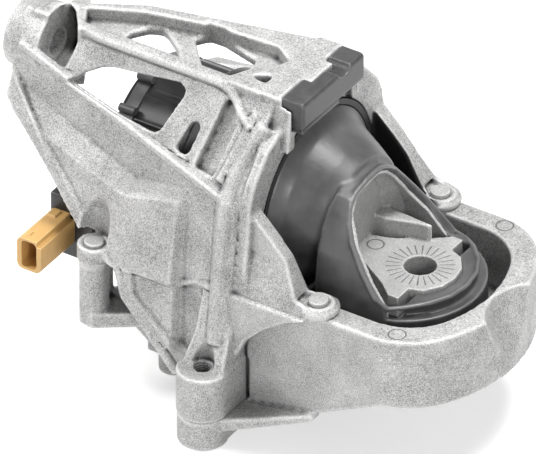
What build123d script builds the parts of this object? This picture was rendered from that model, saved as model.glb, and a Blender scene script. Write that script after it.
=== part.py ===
from build123d import *
import os

os.makedirs("parts", exist_ok=True)

# Hydraulic engine mount. Millimetres, +Z up. The origin is the centre of the core's bolt hole on its
# clamping face, +X points out of the pocket towards the closed end of the cradle.

# Rubber cartridge: its axis runs along X, above the clamping face.
axis_z = 19.0
fit_gap = 0.05
soft_gap = 0.3
bore_r = 51.0
ring_wall = 3.0
ring_front_x = -61.0
ring_length = 14.0

# Plane where the two castings meet, the rivets that join them and the ears round the rivets.
rim_z = -3.0
front_rivet = (-24.0, 56.2)
rear_rivet = (-149.5, 68.0)
rear_joint_z = -13.0
rivet_shank_r = 3.6
rivet_head_r = 5.0
rivet_head_t = 2.6
front_ear_r = 11.0
front_ear_t = 5.5
ear_pad_tip = (-42.5, 63.0)
rear_ear_r = 8.6
rear_ear_t = 10.0
scoop_r = rear_ear_r - 0.4
scoop_tip_r = 1.5
scoop_tip_z = 14.0
scoop_tip_length = 22.0
scoop_backing_t = 16.0
collar_step = 1.6
rivet_pocket_r = 6.2
rivet_pocket_depth = 1.5

# Upper bracket: a flat-topped arm, a portal frame and side walls.
top_z = 93.0
casting_wall = 4.0
eye_centre = (-201.5, -21.0, 71.5)
eye_r = 20.5
eye_length = 22.0
eye_bore_r = 7.3
pocket_direction = (0.446, -0.687, 0.574)
rib_width = 5.0
web_drop = 8.0
web_t = 5.0
portal_back_x = -78.0
portal_front_x = -61.0
portal_rim_t = 5.5
post_front_x = -57.0
beam_half_width = 28.5

# Lower bracket: a cradle with a closed end round the core.
cradle_start_x = -63.2
cradle_half_width = 62.0
cradle_inner_half = 48.5
cradle_end_x = 54.5
cradle_inner_end_x = 40.5
cradle_floor_z = -43.0
cradle_floor_t = 6.0
rear_wall_outer = 56.0
end_scoop_r = 27.5
end_scoop_x = cradle_inner_end_x + 2.2

# Bolting feet: two large ones that clamp both castings, two small ones behind.
main_foot = (-77.0, 80.0)
main_foot_r = 13.5
foot_z = -87.0
foot_parting_z = -70.0
foot_boss_top_z = -44.0
parting_gap = 0.3
foot_thread_r = 4.25
foot_hole_r = 5.3
channel_low_r = foot_hole_r + 1.2
channel_high_r = 2.5
channel_height = 34.0
small_foot = (-121.6, 38.0)
small_foot_r = 8.0
small_foot_hole_r = 4.3

# Core with its bolting tongue.
tongue_t = 12.0
core_bolt_r = 8.2

# Stop buffer clipped over the portal's beam.
buffer_depth = 13.5
buffer_front_x = -51.0
buffer_height = 18.3
buffer_dip_y = 10.0
buffer_dip_r = 6.2
buffer_dip_rise = 2.6
tongue_low_z = 79.0
tongue_high_z = 86.0
tongue_front_x = -56.0
tongue_half_width = 23.0
tab_front_x = -59.5
tab_y = (-7.5, 12.0)
tab_room_y = (tab_y[0] - soft_gap, tab_y[1] + soft_gap)

# Hydraulic cartridge: can, plates with the fluid track, membrane and rolling diaphragm.
can_outer_r = bore_r - 2.2
can_wall = 1.5
can_inner_r = can_outer_r - can_wall
casting_room = 0.7
can_back_x = -115.0
can_hole_r = 32.0
plate_gap = 0.4
plate_r = can_inner_r - plate_gap
front_plate_t = 4.2
track_plate_t = 11.0
track_depth = 7.0
track_mean_r = 38.0
track_half_width = 4.0
grid_hole_ring_r = 15.0
grid_hole_count = 10
grid_hole_r = 3.2
membrane_r = 24.0
membrane_t = 2.5
bead_t = 3.0
air_hole_r = 4.0

# Solenoid that opens the air hole, and its moulded cap.
cap_r = 44.0
cap_room = 1.6
cap_back_x = -160.0
cap_wall = 4.5
cap_floor_t = 3.0
cap_flange_r = can_outer_r - 0.4
cap_flange_x = -120.5
seal_width = 2.5
seal_outer_r = cap_flange_r - 2.9
seal_inner_r = seal_outer_r - seal_width
seal_t = 1.95
flux_plate_r = cap_r - 2.8
flux_plate_t = 3.0
yoke_r = 29.0
yoke_wall = 2.4
plunger_r = 7.45
sleeve_wall = 0.7
coil_r = 24.5
bobbin_wall = 1.5
plunger_length = 20.5
plunger_travel = 1.2
spring_bore_r = 4.2
spring_bore_depth = 6.0
spring_wire_r = 0.45
spring_turns = 5
clamp_ring_x = (-157.0, -150.0)
clamp_ring_wall = 0.8
clamp_hook_r = 2.2
clamp_hook_length = 9.0

# Electrical connector on an arm of the cap.
arm_x = (-186.0, -161.0)
arm_y = (-46.0, 12.0)
arm_z = (-24.0, 12.0)
plate_y = (-53.0, -46.0)
shroud_centre = (-178.0, -12.7)
shroud_width = 14.4
shroud_height = 18.9
shroud_length = 31.0
shroud_wall = 1.5
pin_pitch = 4.5
pin_width = 2.2
pin_t = 0.8
pin_length = 18.0

axis_plane = Plane(origin=(0, 0, axis_z), x_dir=(1, 0, 0), z_dir=(0, -1, 0))
cartridge_axis = Axis((0, 0, axis_z), (1, 0, 0))


def prism(points, plane, amount, both=False):
    """Straight prism: a closed outline on a plane, pushed along the plane's normal."""
    with BuildPart() as piece:
        with BuildSketch(plane):
            with BuildLine():
                Polyline(*points, close=True)
            make_face()
        extrude(amount=amount, both=both)
    return piece.part


def turned(points):
    """Turned shape: outline of (x, radius) points spun about the cartridge's axis."""
    with BuildPart() as piece:
        with BuildSketch(axis_plane):
            with BuildLine():
                Polyline(*points, close=True)
            make_face()
        revolve(axis=cartridge_axis)
    return piece.part


def disc(x_from, x_to, outer_r, inner_r=0.0):
    """Disc or ring about the cartridge's axis."""
    return turned([(x_from, inner_r), (x_to, inner_r), (x_to, outer_r), (x_from, outer_r)])


def block(x_range, y_range, z_range):
    """Rectangular block between two values on each axis."""
    (x1, x2), (y1, y2), (z1, z2) = x_range, y_range, z_range
    return prism([(x1, y1), (x2, y1), (x2, y2), (x1, y2)], Plane.XY.offset(z1), z2 - z1)


def upright(x, y, radius, low, high):
    """Upright cylinder between two heights."""
    with BuildPart() as piece:
        with BuildSketch(Plane.XY.offset(low)):
            with Locations((x, y)):
                Circle(radius)
        extrude(amount=high - low)
    return piece.part


def section_loft(sections):
    """Solid through cross-sections: each is x and its closed outline of (y, z) points."""
    with BuildPart() as piece:
        for x, outline in sections:
            with BuildSketch(Plane.YZ.offset(x)):
                with BuildLine():
                    Polyline(*outline, close=True)
                make_face()
        loft(ruled=True)
    return piece.part


def height_loft(sections):
    """Solid between levels: each is z and its closed outline of (x, y) points."""
    with BuildPart() as piece:
        for z, outline in sections:
            with BuildSketch(Plane.XY.offset(z)):
                with BuildLine():
                    Polyline(*outline, close=True)
                make_face()
        loft(ruled=True)
    return piece.part


def octagon(x, y, half_x, half_y):
    """Eight-sided outline round a point, for a rounded cast rib."""
    corner = 0.42
    steps = [
        (1, corner), (corner, 1), (-corner, 1), (-1, corner),
        (-1, -corner), (-corner, -1), (corner, -1), (1, -corner),
    ]
    return [(x + half_x * u, y + half_y * v) for u, v in steps]


def shell_wall(stations, side, wall=casting_wall):
    """Cast wall through stations of outer (y, z) points, top to bottom, thickened inwards."""
    sections = []
    for x, outer in stations:
        inner = [(y - wall, z - wall * 0.4) for y, z in outer]
        sections.append((x, [(side * y, z) for y, z in outer + inner[::-1]]))
    return section_loft(sections)


def bar(start, end, width, height):
    """Cast rib of one section whose top centre runs between two points at different x."""
    half = width / 2
    sections = []
    for x, y, z in (start, end):
        outline = [(y - half, z), (y + half, z), (y + half, z - height), (y - half, z - height)]
        sections.append((x, outline))
    return section_loft(sections)


# Cross-sections of the side walls (y outwards): rib, flange, crease, shoulder, ledge, foot.
front_wall = [
    (-216.0, [(27, 92), (37.5, 81), (41, 58), (48, 46), (58, -5), (58, -9), (56, -12), (57, -72)]),
    (-162.0, [(27, 92), (42.5, 64), (45.5, 38), (57, 31), (69, -5), (69, -9), (67, -12), (69, -72)]),
    (-135.0, [(27, 92), (47.8, 56.5), (50.5, 32), (62, 27), (72, -5), (72, -9), (69.6, -12), (71.6, -72)]),
    (-103.0, [(27, 92), (54.6, 51.2), (57, 41), (63.5, 36), (71, -5), (71, -9), (68.6, -12), (71, -72)]),
    (-98.5, [(27, 92), (55.6, 50.3), (58, 44), (60, 38), (64.5, -5), (64.5, -9), (63, -12), (66, -72)]),
    (-68.0, [(27, 92), (61.5, 46), (62.5, 38), (63.5, 26), (67.4, -3), (68.3, -6), (68.3, -9), (71, -72)]),
]
back_panel = [
    (-110.0, [(19, 92), (51.5, 48)]),
    (-67.0, [(27.2, 92), (62.3, 44)]),
]
back_wall = [
    (-154.0, [(30, 48), (50, 40), (69, -8), (70, -72)]),
    (-103.0, [(54.6, 48), (62, 38), (70, -8), (72, -72)]),
    (-68.0, [(61.5, 46), (63.5, 30), (68, -4), (71, -72)]),
]

# Side view (x, z) that the side walls are trimmed to: the slanted rear edge and the lower edge.
wall_trim = [
    (-60, 110), (-226, 110), (-226, 58), (-154, -2), (-138, -10), (-130, -10), (-129, -27),
    (-111, -43), (-91, -58), (-91, foot_parting_z), (-63.5, foot_parting_z), (-63.5, -38), (-60, -32),
]
apron_outline = [
    (-68, rim_z), (-24, rim_z), (-35.4, -8), (-48, -17), (-59, -28), (-63.5, -38), (-68, -48),
]
edge_strip = [
    (-226, 58), (-154, -2), (-138, -10), (-134, -10), (-149, 3), (-226, 68),
]
lower_edge_strip = [
    (-130, -10), (-129, -27), (-111, -43), (-91, -58), (-91, -53), (-108, -39), (-125, -24), (-126, -10),
]

# Top view (x, y) of the arm.
arm_outline = [(-208, -29.5), (-66, -29.5), (-66, 29.5), (-164.5, 5.5), (-206, -18)]
arm_recess = [
    (-198, -24.5), (-94, -24.5), (-86, -14), (-79, 2), (-90, 9.4), (-127.7, 7.1), (-162, -1), (-190, -14),
]
arm_windows = [
    [(-165, -21), (-164.5, -10), (-159, -2), (-153, 0.5), (-149, -1), (-137, -10), (-128, -21)],
    [(-134.5, 2), (-130, 8.5), (-122, 9), (-99, 3), (-98, -4), (-103, -14), (-107, -21), (-114, -21)],
]
deck_hollow = [(-89, -19), (-72, -22), (-70, -8)]

# Sloping front panel: x along the arm, y up the slope from the flange.
panel_plane = Plane(origin=(-78, -60, 47), x_dir=(1, 0, 0), z_dir=(0, -0.804, 0.594))
panel_window = [
    (-101.8, 27.2), (-96.8, 34.2), (-88.7, 39.5), (-83.1, 41.3), (-64, 43.4), (-42.9, 46),
    (-39.2, 43.5), (-39.4, 39.4), (-46.6, 20.1), (-49.4, 17.9), (-53.1, 17.9), (-71.4, 20.3),
]
fold_backing = [(-24, 6), (2, 6), (4, 46), (-19, 46)]
border_rib = [(-3.5, 6), (4.5, 44), (1.5, 45), (-6.5, 7)]
fold_plane = Plane(
    origin=(-98.9, -54.8, 54.2), x_dir=(0.992, -0.076, -0.103), z_dir=(0.128, 0.589, 0.798)
)
eye_pocket = [
    (-40, 80.5), (-34.5, 90), (-21.5, 93), (-10.5, 89), (-4.5, 81),
    (-2.5, 71), (-2.5, 60), (-10.5, 53), (-19.7, 50.7),
]
panel_slot = [
    (-35.1, 14.9), (-33.4, 13.1), (-28.2, 12.7), (-26.6, 15.7),
    (-24.8, 27.3), (-25.8, 30.1), (-28.7, 30.4), (-30.8, 28.5),
]

portal_half = [
    (28.5, top_z), (32, 77), (45, 71), (57, 58), (61.5, 48), (63.5, 26), (67, 0), (67, rim_z),
]
portal_outline = [(0, top_z)] + portal_half + [(0, rim_z)]
portal_groove = [
    (0, top_z), (28.5, top_z), (30, 80), (40, 68), (52, 54),
    (56, 45), (59, 26), (62, 0), (62, rim_z), (0, rim_z),
]
gusset_outline = [(-66, 47), (-50, 31.5), (-41, 21.5), (-32, 4), (-24, 2), (-24, rim_z), (-66, rim_z)]


def mirrored(solid):
    """Copy of a solid on the other side of the symmetry plane."""
    return mirror(solid, about=Plane.XZ)


def raised(stations, height):
    """Stations with their outer points moved outwards."""
    return [(x, [(y + height, z) for y, z in outer]) for x, outer in stations]


def xz_prism(outline, y_from, y_to):
    """Prism of an (x, z) outline between two y values."""
    return prism(outline, Plane.XZ.offset(-y_from), -(y_to - y_from))


trim = xz_prism(wall_trim, -110, 110)
front_side = shell_wall(front_wall, -1) & trim
edge_ribs = shell_wall(raised(front_wall, 2.0), -1) & (
    xz_prism(edge_strip, -110, 0) + xz_prism(lower_edge_strip, -110, 0)
)
back_side = (shell_wall(back_wall, 1) & trim) + shell_wall(back_panel, 1)

# One half of the portal: frame, gusset down to the front ear, and the ear itself.
with BuildPart() as portal_side:
    add(prism(portal_groove, Plane.YZ.offset(portal_back_x), portal_front_x - portal_back_x))
    add(prism(portal_outline, Plane.YZ.offset(portal_front_x - portal_rim_t), portal_rim_t))
    post = [(26, top_z - 1), (beam_half_width, top_z - 1), (32, 77), (33, 64), (26, 64)]
    add(prism(post, Plane.YZ.offset(portal_back_x + 3), post_front_x - portal_back_x - 3))
    add(xz_prism(gusset_outline, 51.5, 60))
    skirt = [(53, rim_z), (67, rim_z), (66.5, 0), (60, 20), (53, 20)]
    add(prism(skirt, Plane.YZ.offset(-70), 46) & xz_prism(gusset_outline, 50, 70))
    add(upright(*front_rivet, front_ear_r, rim_z, rim_z + front_ear_t - collar_step))
    with BuildSketch(Plane.XY.offset(rim_z)):
        with Locations(front_rivet):
            Circle(front_ear_r - 2.4)
        with Locations(ear_pad_tip):
            Circle(2.6)
        make_hull()
    extrude(amount=front_ear_t)
    ear_tongue = [(-24, 45.5), (-24, 67.1), (-64, 67.1), (-64, 48)]
    add(prism(ear_tongue, Plane.XY.offset(rim_z), front_ear_t - 2 * collar_step))
    add(xz_prism(apron_outline, 64.0, 70.0))

with BuildPart() as foot_side:
    x, y = main_foot
    boss_low = foot_parting_z + parting_gap
    add(upright(x, y, main_foot_r, boss_low, foot_boss_top_z))
    add(block((x - main_foot_r, x + main_foot_r), (60, y), (boss_low, foot_boss_top_z)))
    add(height_loft([
        (foot_boss_top_z - 3, [(x - 12.5, 60), (x + 13, 60), (x + 12.5, 83), (x - 12, 83)]),
        (foot_boss_top_z + 14, [(x - 10, 60), (x + 12, 60), (x + 11, 74), (x - 9, 74)]),
        (-8, [(x - 9, 60), (x + 11, 60), (x + 9, 67.5), (x - 8, 67.5)]),
    ]))
    channel = Cone(
        channel_low_r, channel_high_r, channel_height,
        align=(Align.CENTER, Align.CENTER, Align.MIN), mode=Mode.PRIVATE,
    )
    add(Pos(x, y, foot_boss_top_z) * channel, mode=Mode.SUBTRACT)
    add(upright(x, y, foot_thread_r, foot_z, foot_boss_top_z + 1), mode=Mode.SUBTRACT)

with BuildPart() as upper_bracket:
    add(prism(arm_outline, Plane.XY.offset(top_z - web_drop - web_t), web_drop + web_t))
    add(prism(arm_recess, Plane.XY.offset(top_z - web_drop), web_drop), mode=Mode.SUBTRACT)
    for window in arm_windows:
        add(prism(window, Plane.XY.offset(top_z - 30), 30), mode=Mode.SUBTRACT)
    add(prism(deck_hollow, Plane.XY.offset(top_z - 10), 10), mode=Mode.SUBTRACT)
    add(front_side)
    add(edge_ribs)
    add(back_side)
    add(bar((-76, -27.5, top_z), (-210, -27.5, top_z), rib_width, 12))
    ex, ey, ez = eye_centre
    with BuildSketch(Plane.YZ.offset(ex - eye_length)):
        with Locations((ey, ez)):
            Circle(eye_r - 2.5)
    with BuildSketch(Plane.YZ.offset(ex)):
        with Locations((ey, ez)):
            Circle(eye_r)
    loft()
    # Pocket that shows the eye's end face, with the wall that closes it.
    add(prism([(ex - 1, -6), (-184, -32), (-180, -30), (ex + 4, 3), (ex - 1, 3)], Plane.XY.offset(58), 34))
    with BuildSketch(Plane.YZ.offset(ex)):
        with BuildLine():
            Polyline(*eye_pocket, close=True)
        make_face()
    extrude(amount=44, dir=pocket_direction, mode=Mode.SUBTRACT)
    add(bar((-212, -38.6, 80), (-76, -61.5, 48.5), 5, 4.5))
    # Fold of the panel before the portal: a trough with a low ridge beside it.
    add(prism(fold_backing, panel_plane.offset(-9), 8.5))
    with BuildPart(mode=Mode.PRIVATE) as fold_trough:
        with BuildSketch(fold_plane):
            with BuildLine():
                Polyline((0, -3.8), (1.5, -4.2), (11.5, 0.2), (12, 6), (0, 6), close=True)
            make_face()
        extrude(amount=38)
    add(fold_trough.part, mode=Mode.SUBTRACT)
    add(prism(border_rib, panel_plane.offset(-6), 7.5))
    add(prism(panel_window, panel_plane.offset(-14), 26), mode=Mode.SUBTRACT)
    add(prism(panel_slot, panel_plane.offset(-14), 26), mode=Mode.SUBTRACT)
    for side in (1, -1):
        portal = portal_side.part if side > 0 else mirrored(portal_side.part)
        foot = foot_side.part if side > 0 else mirrored(foot_side.part)
        add(portal)
        add(foot)
        add(upright(rear_rivet[0], side * rear_rivet[1], rear_ear_r, rear_joint_z, rear_joint_z + rear_ear_t))
    # Rounded column from the portal's corner down to the foot.
    add(height_loft([
        (foot_boss_top_z + 6, octagon(-72.5, -69, 6.5, 6)),
        (-8, octagon(-73.5, -65.5, 6.5, 6.5)),
        (46, octagon(-75, -58.5, 6, 6)),
    ]))
    # Bullet-shaped scoop over the rear ear, with the wall bulged in behind it.
    rx, ry = rear_rivet[0], -rear_rivet[1]
    scoop_low = rear_joint_z + rear_ear_t
    scoop_backing = shell_wall(front_wall, -1, scoop_backing_t) & trim
    add(upright(rx, ry, rear_ear_r + 3.4, scoop_low - 6, 44) & scoop_backing)
    add(upright(rx, ry, scoop_r, scoop_low, scoop_tip_z), mode=Mode.SUBTRACT)
    bullet = Cone(
        scoop_r, scoop_tip_r, scoop_tip_length,
        align=(Align.CENTER, Align.CENTER, Align.MIN), mode=Mode.PRIVATE,
    )
    add(Pos(rx, ry, scoop_tip_z) * bullet, mode=Mode.SUBTRACT)
    add(upright(rx, -ry, scoop_r, scoop_low, 70), mode=Mode.SUBTRACT)
    # Room for the cartridge.
    can_room_r = can_outer_r + casting_room
    add(turned([(-84, 0), (-84, bore_r), (-20, bore_r), (-20, 0)]), mode=Mode.SUBTRACT)
    add(turned([(-125, 0), (-125, can_room_r), (-80, can_room_r), (-80, 0)]), mode=Mode.SUBTRACT)
    cap_room_r = cap_r + cap_room
    add(turned([(-185, 0), (-185, cap_room_r), (-120, cap_room_r), (-120, 0)]), mode=Mode.SUBTRACT)
    # Seat of the stop buffer, with the tongue it clips round.
    buffer_back_x = buffer_front_x - buffer_depth
    seat = Box(30, 2 * beam_half_width, 40, align=(Align.MIN, Align.CENTER, Align.MIN), mode=Mode.PRIVATE)
    add(Pos(buffer_back_x, 0, top_z - buffer_height) * seat, mode=Mode.SUBTRACT)
    tongue_x = (buffer_back_x - 3, tongue_front_x)
    add(block(tongue_x, (-tongue_half_width, tongue_half_width), (tongue_low_z, tongue_high_z)))
    add(block((buffer_back_x - 4, tab_front_x), tab_y, (tongue_high_z, top_z)))
    with BuildSketch(Plane.YZ.offset(ex - eye_length - 1)):
        with Locations((ey, ez)):
            Circle(eye_bore_r)
    extrude(amount=eye_length + 60, mode=Mode.SUBTRACT)
    for side in (1, -1):
        x, y = front_rivet[0], side * front_rivet[1]
        top = rim_z + front_ear_t
        add(upright(x, y, rivet_shank_r + fit_gap, rim_z - 1, top + 1), mode=Mode.SUBTRACT)
        with BuildSketch(Plane.XY.offset(top - rivet_pocket_depth)):
            with Locations((x, y)):
                Circle(rivet_pocket_r)
            with Locations((ear_pad_tip[0] + 1.5, side * (ear_pad_tip[1] - 0.6))):
                Circle(0.8)
            make_hull()
        extrude(amount=2 * rivet_pocket_depth, mode=Mode.SUBTRACT)
        x, y = rear_rivet[0], side * rear_rivet[1]
        top = rear_joint_z + rear_ear_t
        add(upright(x, y, rivet_shank_r + fit_gap, rear_joint_z - 1, top + 1), mode=Mode.SUBTRACT)
        add(upright(x, y, rivet_pocket_r, top - rivet_pocket_depth, top + 1), mode=Mode.SUBTRACT)

upper_bracket.part.label = "upper_bracket"
export_step(upper_bracket.part, "parts/upper_bracket.step")

# Lower bracket. Side view (x, z) of its walls and top view (x, y) of its flanges.
front_skirt = [(-62, -10), (16.7, -10), (16.7, cradle_floor_z), (-29.8, -66.6), (-58, -81), (-62, -81)]
rear_skirt = [
    (-60, rim_z), (-60, -81), (-92, -81), (-118, -68), (-134, -56), (-150, -46), (-150, -40), (-104, -22),
]
rear_floor = [(-62, -37), (-62, -43), (-92, -54), (-128, -54), (-128, -48), (-92, -48)]
column_flange = [(-158, 66), (-154, 75), (-146, 76.5), (-126, 62), (-118, 50), (-150, 50)]

with BuildPart() as lower_bracket:
    half = cradle_half_width
    inner = cradle_inner_half
    with BuildSketch(Plane.XY.offset(cradle_floor_z)):
        with BuildLine():
            Polyline((12, half), (cradle_start_x, half), (cradle_start_x, -half), (12, -half))
            ThreePointArc((12, -half), (29, -56.5), (40, -46.5))
            ThreePointArc((40, -46.5), (cradle_end_x, 0), (40, 46.5))
            ThreePointArc((40, 46.5), (29, 56.5), (12, half))
        make_face()
    extrude(amount=rim_z - cradle_floor_z)
    with BuildSketch(Plane.XY.offset(cradle_floor_z + cradle_floor_t)):
        with BuildLine():
            Polyline((5, inner), (-70, inner), (-70, -inner), (5, -inner))
            ThreePointArc((5, -inner), (23, -43), (34, -30))
            ThreePointArc((34, -30), (cradle_inner_end_x, 0), (34, 30))
            ThreePointArc((34, 30), (23, 43), (5, inner))
        make_face()
    extrude(amount=60, mode=Mode.SUBTRACT)
    for side in (1, -1):
        half_parts = [
            xz_prism(front_skirt, 57, cradle_half_width),
            xz_prism(rear_skirt, 50, rear_wall_outer),
            upright(*main_foot, main_foot_r - 0.4, foot_z, foot_parting_z),
            block((-89, -65), (50, 80), (foot_z, foot_parting_z)),
            section_loft([
                (-66, [(57, -70.3), (84, -70.3), (84, -78), (57, -78)]),
                (-22, [(57, -62), (64.5, -62), (64.5, -66), (57, -66)]),
            ]),
            upright(*small_foot, small_foot_r, foot_z, -48),
            prism([(-128, 38), (-128, 53), (-115, 53), (-115, 38)], Plane.XY.offset(-70), 22),
            upright(*rear_rivet, rear_ear_r - 1, -44, rear_joint_z),
            prism(column_flange, Plane.XY.offset(-50), 9),
            prism([(-152, 54), (-147, 54), (-147, 68), (-152, 68)], Plane.XY.offset(-50), 25),
        ]
        for piece in half_parts:
            add(piece if side > 0 else mirrored(piece))
    add(xz_prism(rear_floor, -52, 52))
    # Scoop in the closed end, running out down the wall.
    with BuildSketch(Plane.XY.offset(rim_z + 1)):
        with Locations((end_scoop_x + end_scoop_r, 0)):
            Circle(end_scoop_r)
    with BuildSketch(Plane.XY.offset(rim_z - 32)):
        with Locations((cradle_end_x + 1 + end_scoop_r, 0)):
            Circle(end_scoop_r)
    loft(mode=Mode.SUBTRACT)
    for side in (1, -1):
        x, y = front_rivet[0], side * front_rivet[1]
        add(upright(x, y, rivet_shank_r + fit_gap, rim_z - 10, rim_z + 1), mode=Mode.SUBTRACT)
        x, y = rear_rivet[0], side * rear_rivet[1]
        add(upright(x, y, rivet_shank_r + fit_gap, rear_joint_z - 10, rear_joint_z + 1), mode=Mode.SUBTRACT)
        add(upright(main_foot[0], side * main_foot[1], foot_hole_r, foot_z - 1, -60), mode=Mode.SUBTRACT)
        x, y = small_foot[0], side * small_foot[1]
        add(upright(x, y, small_foot_hole_r, foot_z - 1, -40), mode=Mode.SUBTRACT)
lower_bracket.part.label = "lower_bracket"
export_step(lower_bracket.part, "parts/lower_bracket.step")

rivet_seats = [(front_rivet, rim_z, front_ear_t), (rear_rivet, rear_joint_z, rear_ear_t)]
with BuildPart() as clinch_rivets:
    for side in (1, -1):
        for place, joint_z, ear_t in rivet_seats:
            seat_z = joint_z + ear_t - rivet_pocket_depth
            add(upright(place[0], side * place[1], rivet_shank_r, joint_z - 9.8, seat_z))
            add(upright(place[0], side * place[1], rivet_head_r, seat_z, seat_z + rivet_head_t))
clinch_rivets.part.label = "clinch_rivets"
export_step(clinch_rivets.part, "parts/clinch_rivets.step")


def arch(left, right):
    """Closed arch outline from the (y, z) points of its two sides, each crown to foot."""
    return [(-y, z) for y, z in left[::-1]] + right


def grown(half, amount):
    """One side of an arch with its points moved outwards and up."""
    return [(y + amount, z + 0.7 * amount) for y, z in half]


# Hollow of the hood over the tongue, at its back wall, behind its mouth and in front of it.
hollow_back_x = -36.0
lining_t = 1.7
hollow_low_z = -tongue_t
back_half = [(3, 35), (9, 34), (14, 31), (18, 23), (20, 10), (21, hollow_low_z)]
hollow_halves = [
    (hollow_back_x, back_half, back_half),
    (
        -29,
        [(3, 43.5), (14, 42.5), (26, 37.5), (34, 26), (38, 10), (39, hollow_low_z)],
        [(3, 43.5), (10, 40), (17, 33.3), (24, 23.5), (31, 10), (33.5, hollow_low_z)],
    ),
    (
        10,
        [(3, 36), (13, 34.5), (23, 29.5), (31, 21), (35, 8), (36, hollow_low_z)],
        [(3, 36), (9, 33), (15, 26.5), (23, 17.5), (30, 7), (33, hollow_low_z)],
    ),
]
hood_hollow = section_loft([(x, arch(left, right)) for x, left, right in hollow_halves])
lining_outer = section_loft(
    [(x, arch(grown(left, lining_t), grown(right, lining_t))) for x, left, right in hollow_halves]
)

# Side views (x, z) of the hood's mouth, on its two sides.
mouth_left = [(-26, 60), (-26.5, 41.5), (5, -4), (5, -40), (40, -40), (40, 60)]
mouth_right = [
    (-26, 60), (-26.5, 41.5), (-26.8, 35.4), (-23.7, 21.5), (-18.1, 12.8), (-11, 4.5),
    (-4, -4), (5, -8), (5, -40), (40, -40), (40, 60),
]
mouth_cut = xz_prism(mouth_left, -60, 0) + xz_prism(mouth_right, 0, 60)

# Core: bolting tongue, root block and back cone, one aluminium casting.
tongue_half = [(-40, 8), (-25, 12.5), (-8, 23), (0, 30), (6, 30), (6, 20), (13, 17.5), (19, 9), (20.5, 0)]
tongue_outline = tongue_half + [(x, -y) for x, y in tongue_half[-2::-1]]
core_cone = [(-66, 0), (-66, 12), (-44, 20), (-36, 20), (-36, 0)]
with BuildPart() as core:
    add(prism(tongue_outline, Plane.XY.offset(-tongue_t), tongue_t))
    add(turned(core_cone))
    add(prism([(-50, 13), (-36, 13), (-36, -13), (-50, -13)], Plane.XY.offset(-tongue_t), 34))
    back_wall_half = grown(back_half, lining_t - 0.7)
    back_wall_outline = arch(back_wall_half, back_wall_half)
    add(section_loft([(hollow_back_x - 4, back_wall_outline), (hollow_back_x, back_wall_outline)]))
    add(lining_outer - hood_hollow - mouth_cut)
    ledge = [(-37.5, 14), (-30, 14), (-14, 19), (-8, 20), (-6, 22), (-37.5, 24)]
    add(prism(ledge, Plane.XY.offset(-tongue_t), 21))
    add(upright(0, 0, core_bolt_r, -tongue_t - 1, 1), mode=Mode.SUBTRACT)
core.part.label = "core"
export_step(core.part, "parts/core.step")


# Rubber spring: cone between core and outer ring, the hood over the core and the bumper round the tongue.
spring_cone = [
    (-74.9, 38), (-74.9, 47.9), (-61.5, 47.9), (-58, 44.5), (-55, 42), (-49, 39),
    (-41, 35), (-33, 30.5), (-33, 0), (-68, 0), (-68, 14),
]
hood_back = arch(
    [(3, 47.5), (13, 47), (24, 44.5), (31, 39.5), (37, 31), (41, 20), (43, 3), (43, -28)],
    [(3, 47.5), (11, 44.5), (18, 39), (25, 31), (30, 23), (34, 14), (37, 3), (40, -28)],
)
hood_fore = arch(
    [(3, 39), (12, 38.5), (21, 37), (28, 33), (34, 26), (38, 15), (40, 2), (40, -28)],
    [(3, 39), (10, 36), (17, 29), (25, 20), (31, 14), (35, 8), (37, 1), (38, -28)],
)
bumper_z = -30.0
with BuildPart() as rubber_spring:
    add(turned(spring_cone))
    add(section_loft([(-35, hood_back), (6, hood_fore)]))
    add(mouth_cut, mode=Mode.SUBTRACT)
    with BuildSketch(Plane.XY.offset(bumper_z)):
        with BuildLine():
            Polyline((5, 39.5), (-34, 39.5), (-34, -39.5), (5, -39.5))
            ThreePointArc((5, -39.5), (32.5, 0), (5, 39.5))
        make_face()
    extrude(amount=-8 - bumper_z)
    with BuildSketch(Plane.XY.offset(bumper_z)):
        with BuildLine():
            Polyline((4, 34.5), (-30, 34.5), (-30, -34.5), (4, -34.5))
            ThreePointArc((4, -34.5), (27, 0), (4, 34.5))
        make_face()
    extrude(amount=-2 - bumper_z)
    add(hood_hollow, mode=Mode.SUBTRACT)
    add(upright(0, 0, 11, bumper_z - 1, -tongue_t + 1), mode=Mode.SUBTRACT)
    add(core.part, mode=Mode.SUBTRACT)
rubber_spring.part.label = "rubber_spring"
export_step(rubber_spring.part, "parts/rubber_spring.step")

# Hydraulic cartridge behind the spring. Stations along its axis, front to back.
ring_back_x = ring_front_x - ring_length
with BuildPart() as outer_ring:
    add(disc(ring_back_x, ring_front_x, bore_r - fit_gap, bore_r - ring_wall))
outer_ring.part.label = "outer_ring"
export_step(outer_ring.part, "parts/outer_ring.step")

can_front_x = ring_back_x - fit_gap
can_floor_x = can_back_x + can_wall
with BuildPart() as cartridge_can:
    add(disc(can_front_x - can_wall, can_front_x, bore_r - 0.4, can_inner_r))
    add(disc(can_back_x, can_front_x, can_outer_r, can_inner_r))
    add(disc(can_back_x, can_floor_x, can_outer_r, can_hole_r))
cartridge_can.part.label = "cartridge_can"
export_step(cartridge_can.part, "parts/cartridge_can.step")

front_plate_x = ring_back_x - soft_gap
front_plate_back_x = front_plate_x - front_plate_t
with BuildPart() as nozzle_plate:
    add(disc(front_plate_back_x, front_plate_x, plate_r))
    with BuildSketch(Plane.YZ.offset(front_plate_back_x - 1)):
        with Locations((0, axis_z)):
            with PolarLocations(grid_hole_ring_r, grid_hole_count):
                Circle(grid_hole_r)
            with PolarLocations(track_mean_r, 1):
                Circle(track_half_width - 1)
    extrude(amount=front_plate_t + 2, mode=Mode.SUBTRACT)
nozzle_plate.part.label = "nozzle_plate"
export_step(nozzle_plate.part, "parts/nozzle_plate.step")

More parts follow.
